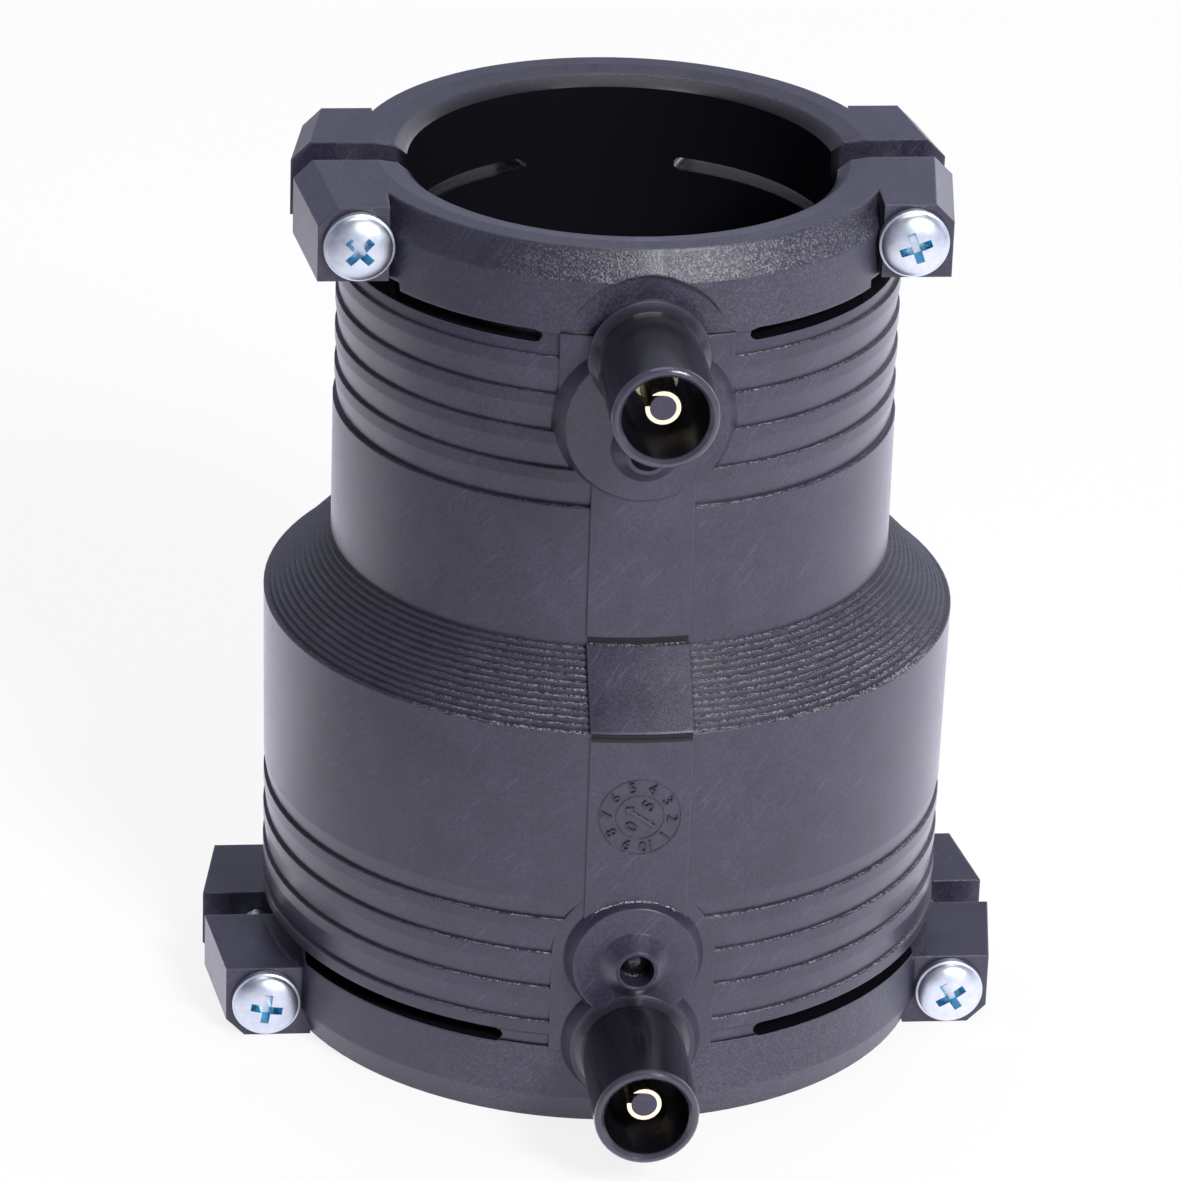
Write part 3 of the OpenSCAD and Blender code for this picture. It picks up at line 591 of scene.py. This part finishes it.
def shank_radius(depth, turn):
    """The thread's radius at a depth below the seat and a share of a turn, in millimetres."""
    phase = (depth / THREAD_PITCH + turn) % 1.0
    crest = max(0.0, 1.0 - abs(phase - 0.5) / CREST_SHARE)
    run_out = min(1.0, max(0.0, (depth - THREAD_START) / THREAD_START))
    point = min(1.0, POINT_SHARE + (1 - POINT_SHARE) * (SHANK_L - depth) / POINT_L)
    return (SHANK_ROOT_R + (SHANK_R - SHANK_ROOT_R) * crest * run_out) * point


def screw_shank(bm):
    """The threaded shank below the seat, added to the mesh as one closed skin."""
    sides, rows_per_pitch = 32, 12
    rows = round(SHANK_L / THREAD_PITCH * rows_per_pitch)
    grid = []
    for row in range(rows + 1):
        depth = SHANK_L * row / rows
        ring = []
        for i, (x, y) in enumerate(around(1, sides)):
            r = shank_radius(depth, i / sides)
            ring.append(bm.verts.new(Vector((r * x, r * y, SHANK_RISE - depth)) * MM))
        grid.append(ring)
    for a, b in zip(grid, grid[1:]):
        for i in range(sides):
            j = (i + 1) % sides
            bm.faces.new((a[i], b[i], b[j], a[j]))
    bm.faces.new(grid[0])
    bm.faces.new(list(reversed(grid[-1])))


def clamp_screw_mesh(zinc, recess_zinc):
    """One screw along +Z, its seat at zero: a turned head with a cut cross recess, and a thread."""
    head_mesh = to_mesh(turned(screw_head_profile(), segments=64), "screw_head")
    head = mesh_object("screw_head_blank", head_mesh, zinc, recess_zinc)
    # The recess's floor stays silvery, and its walls are blue.
    cutter_mesh = to_mesh(cross_recess(), "screw_recess")
    cutter = mesh_object("screw_recess_cutter", cutter_mesh, zinc, recess_zinc)
    for face in cutter_mesh.polygons:
        face.material_index = 0 if abs(face.normal.z) > 0.9 else 1
    cut = head.modifiers.new("recess", "BOOLEAN")
    cut.operation, cut.object, cut.solver = "DIFFERENCE", cutter, "EXACT"
    cut.use_self = True
    graph = bpy.context.evaluated_depsgraph_get()
    bm = bmesh.new()
    bm.from_object(head, graph)
    screw_shank(bm)
    mesh = to_mesh(bm, "clamp_screw", smooth_angle=40)
    bpy.data.objects.remove(head)
    bpy.data.objects.remove(cutter)
    mesh.materials.append(zinc)
    mesh.materials.append(recess_zinc)
    return mesh


def clamp_screws():
    """Stand the finished screws where the CAD's screws are, each turned as its driver left it."""
    # Zinc plating on turned steel: a silvery, clouded gloss that blurs what it mirrors.
    zinc = bright_metal("zinc_plated_steel", ZINC_SHADE, ZINC,
                        grain_mm=0.9, rough_low=0.34, rough_high=0.46)
    # The passivation pools in the recess and dries there as a clear blue film.
    recess_zinc = bright_metal("blue_passivated_recess", ZINC_BLUE_DEEP, ZINC_BLUE,
                               grain_mm=0.6, rough_low=0.25, rough_high=0.4)
    blank = clamp_screw_mesh(zinc, recess_zinc)
    for name, driver_turn in (("upper_left_screw", 45), ("upper_right_screw", 20),
                              ("lower_left_screw", -9), ("lower_right_screw", 33)):
        low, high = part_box(name)
        seat = Vector(((low.x + high.x) / 2, low.y + HEAD_H * MM, (low.z + high.z) / 2))
        mesh = blank.copy()
        mesh.transform(Matrix.Translation(seat) @ Matrix.Rotation(pi / 2, 4, "X")
                       @ Matrix.Rotation(radians(driver_turn), 4, "Z"))
        screw = mesh_object("finished_" + name, mesh)
        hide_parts(name)
        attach(screw, "root")
    bpy.data.meshes.remove(blank)


def on_band(u, v, lift):
    """A point on the band's curved face, from flat dial coordinates, in metres."""
    r = BAND_R + BAND_SWELL * (DIAL_Z + v - BAND_FOOT_Z) / (SHOULDER_LOW - BAND_FOOT_Z)
    angle = u / r
    return Vector(((r + lift) * sin(angle), -(r + lift) * cos(angle), DIAL_Z + v)) * MM


def raised_outline(bm, outline, lift):
    """A closed outline in dial coordinates, stood up from just under the band to the lift."""
    top = [bm.verts.new(on_band(u, v, lift)) for u, v in outline]
    foot = [bm.verts.new(on_band(u, v, -DIAL_SUNK)) for u, v in outline]
    bm.faces.new(top)
    bm.faces.new(list(reversed(foot)))
    for i in range(len(outline)):
        j = (i + 1) % len(outline)
        bm.faces.new((foot[i], foot[j], top[j], top[i]))


def raised_circle(bm, r, width, lift, segments=72):
    """A raised line with sloping sides round the dial's centre."""
    inner, outer, slope = r - width / 2, r + width / 2, lift * 0.7
    section = ((inner, -DIAL_SUNK), (inner, slope), (r, lift), (outer, slope), (outer, -DIAL_SUNK))
    rings = [[bm.verts.new(on_band(u, v, h)) for u, v in around(s, segments)] for s, h in section]
    for a, b in zip(rings, rings[1:] + rings[:1]):
        for i in range(segments):
            j = (i + 1) % segments
            bm.faces.new((a[i], a[j], b[j], b[i]))


def raised_number(bm, text, angle, r, height, upright):
    """A plain number at that angle and radius on the dial, its head towards the upright angle."""
    curve = bpy.data.curves.new("dial_number", "FONT")
    curve.body = text
    curve.size = height / CAPITAL_SHARE
    curve.align_x, curve.align_y = "CENTER", "CENTER"
    curve.resolution_u = 3
    curve.extrude = (DIAL_RELIEF + DIAL_SUNK) / 2
    holder = bpy.data.objects.new("dial_number", curve)
    bpy.context.scene.collection.objects.link(holder)
    bpy.context.view_layer.update()
    flat = bpy.data.meshes.new_from_object(holder.evaluated_get(
        bpy.context.evaluated_depsgraph_get()))
    turn = Matrix.Rotation(upright - pi / 2, 2)
    at = Vector((r * cos(angle), r * sin(angle)))
    for vertex in flat.vertices:
        spot = turn @ Vector(vertex.co[:2]) + at
        vertex.co = on_band(spot.x, spot.y, vertex.co.z + (DIAL_RELIEF - DIAL_SUNK) / 2)
    bm.from_mesh(flat)
    bpy.data.objects.remove(holder)
    bpy.data.curves.remove(curve)
    bpy.data.meshes.remove(flat)


def date_dial(plastic, polished):
    """The mould's date dial on the band: plain numbers in the dark polished plastic, painted dark as
    their shade too, and two circles and a pointer.
    """
    bm = bmesh.new()
    for i in range(DIAL_NUMBERS):
        angle = radians(DIAL_FIRST_ANGLE + 360 / DIAL_NUMBERS * i)
        raised_number(bm, str(i + 1), angle, (DIAL_R + DIAL_CORE_R) / 2, RING_NUMBER_H, angle)
    tip = radians(POINTER_ANGLE)
    for text, side, r in (("0", pi / 2, 1.55), ("5", -pi / 2, 1.75)):
        raised_number(bm, text, tip + side, r, CORE_NUMBER_H, tip)
    # The numbers take the dark polished plastic, which stands in for their shade.
    for face in bm.faces:
        face.material_index = 1
    along, aside = Vector((cos(tip), sin(tip))), Vector((-sin(tip), cos(tip)))
    stem, barb = POINTER_STEM, POINTER_BARB
    pointer = [(-POINTER_HALF, stem), (-POINTER_HALF, -stem), (BARB_NECK, -stem),
               (BARB_BACK, -barb), (POINTER_HALF, 0.0), (BARB_BACK, barb), (BARB_NECK, stem)]
    raised_outline(bm, [along * a + aside * b for a, b in pointer], DIAL_RELIEF * POINTER_SHARE)
    for r in (DIAL_R, DIAL_CORE_R):
        raised_circle(bm, r, CIRCLE_WIDTH, DIAL_RELIEF * CIRCLE_SHARE)
    bmesh.ops.recalc_face_normals(bm, faces=bm.faces)
    dial = mesh_object("date_dial", to_mesh(bm, "date_dial"), plastic, polished)
    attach(dial, "root")


def dress(material, *nodes):
    """The CAD nodes keep their shapes and take the material."""
    for node in nodes:
        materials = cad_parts[node].data.materials
        materials.clear()
        materials.append(material)


def camera():
    """The photograph's camera: yaw about the vertical, then pitch, then roll about its own sight."""
    turn = (Matrix.Rotation(CAMERA_YAW, 3, "Z") @ Matrix.Rotation(CAMERA_PITCH, 3, "X")
            @ Matrix.Rotation(CAMERA_ROLL, 3, "Y"))
    right, ahead, up = turn.col
    data = bpy.data.cameras.new("camera")
    data.sensor_width = SENSOR_MM
    data.lens = FOCAL_PX * SENSOR_MM / IMAGE_PX
    data.clip_start, data.clip_end = 0.05, 20
    eye = bpy.data.objects.new("camera", data)
    eye.matrix_world = (Matrix.Translation(CAMERA_PLACE)
                        @ Matrix((right, up, -ahead)).transposed().to_4x4())
    bpy.context.scene.collection.objects.link(eye)
    bpy.context.scene.camera = eye


def white_floor():
    """A wide plain floor at the part's foot."""
    bm = bmesh.new()
    bmesh.ops.create_grid(bm, x_segments=1, y_segments=1, size=4)
    floor_mesh = bpy.data.meshes.new("floor")
    bm.to_mesh(floor_mesh)
    bm.free()
    mesh_object("floor", floor_mesh, stage_white("white_floor"))


def white_surround():
    """White for the camera, dim for diffuse light, and a room of its own for reflections."""
    world = bpy.data.worlds.new("white_surround")
    bpy.context.scene.world = world
    world.use_nodes = True
    tree = world.node_tree
    rays = add(tree, "LightPath")
    to_camera = rays.outputs["Is Camera Ray"]
    shown = add(tree, "MapRange", {"Value": to_camera, "To Min": 0.2, "To Max": 1.0})
    # Reflections see a pale sweep at the horizon, a dimmer room above it, and more at the right.
    sight = add(tree, "SeparateXYZ", {"Vector": add(tree, "TexCoord").outputs["Generated"]})
    sweep = add(tree, "MapRange", {"Value": sight.outputs["Z"], "From Min": 0.0, "From Max": 0.35,
                                   "To Min": 1.6, "To Max": 0.55})
    lit_side = add(tree, "MapRange", {"Value": sight.outputs["X"], "From Min": -0.3,
                                      "From Max": 0.3, "To Min": 0.6, "To Max": 1.1})
    mirrored = add(tree, "Math", {0: rays.outputs["Is Glossy Ray"], 1: sweep},
                   operation="MULTIPLY")
    mirrored = add(tree, "Math", {0: mirrored, 1: lit_side}, operation="MULTIPLY")
    level = add(tree, "Math", {0: shown, 1: mirrored}, operation="MAXIMUM")
    room = add(tree, "Mix", {"Factor": to_camera, "A": linear(ROOM_COOL),
                             "B": linear(PAPER_WHITE)}, data_type="RGBA")
    background = tree.nodes["Background"]
    tree.links.new(room.outputs[2], background.inputs["Color"])
    tree.links.new(level.outputs[0], background.inputs["Strength"])


def soft_light(name, place, size, watts):
    """A square lamp of that size in metres, turned to the middle of the part."""
    middle = Vector((0, 0, 0.05))
    data = bpy.data.lights.new(name, "AREA")
    data.shape, data.size, data.energy = "SQUARE", size, watts
    lamp = bpy.data.objects.new(name, data)
    lamp.location = place
    lamp.rotation_mode = "QUATERNION"
    lamp.rotation_quaternion = (middle - Vector(place)).to_track_quat("-Z", "Y")
    bpy.context.scene.collection.objects.link(lamp)


def main():
    camera()
    white_floor()
    white_surround()
    soft_light("key_light", (0.40, -0.90, 0.74), size=0.3, watts=14)
    soft_light("side_light", (0.84, 0.71, 0.28), size=0.9, watts=2.5)
    soft_light("top_light", (0.0, 0.3, 1.2), size=0.8, watts=6.5)

    plastic = moulded_polyethylene()
    indicator = polished_polyethylene_painted_dark()
    # Rolled brass strip: pale gold, smooth, with soft highlights along the sleeve.
    brass = bright_metal("rolled_brass_contact", BRASS_SHADE, BRASS_PALE,
                         grain_mm=0.4, rough_low=0.2, rough_high=0.32)
    # Drawn resistance wire: dull copper brown, hidden inside the wall.
    wire = bright_metal("resistance_wire", WIRE_SHADE, WIRE_COPPER,
                        grain_mm=0.5, rough_low=0.3, rough_high=0.45)
    dress(plastic, "body")
    dress(indicator, "upper_indicator_pin", "lower_indicator_pin")
    dress(brass, "upper_contact", "lower_contact")
    dress(wire, "heating_wire")
    clamp_screws()
    date_dial(plastic, indicator)
    bpy.context.scene.view_settings.view_transform = "Standard"


main()
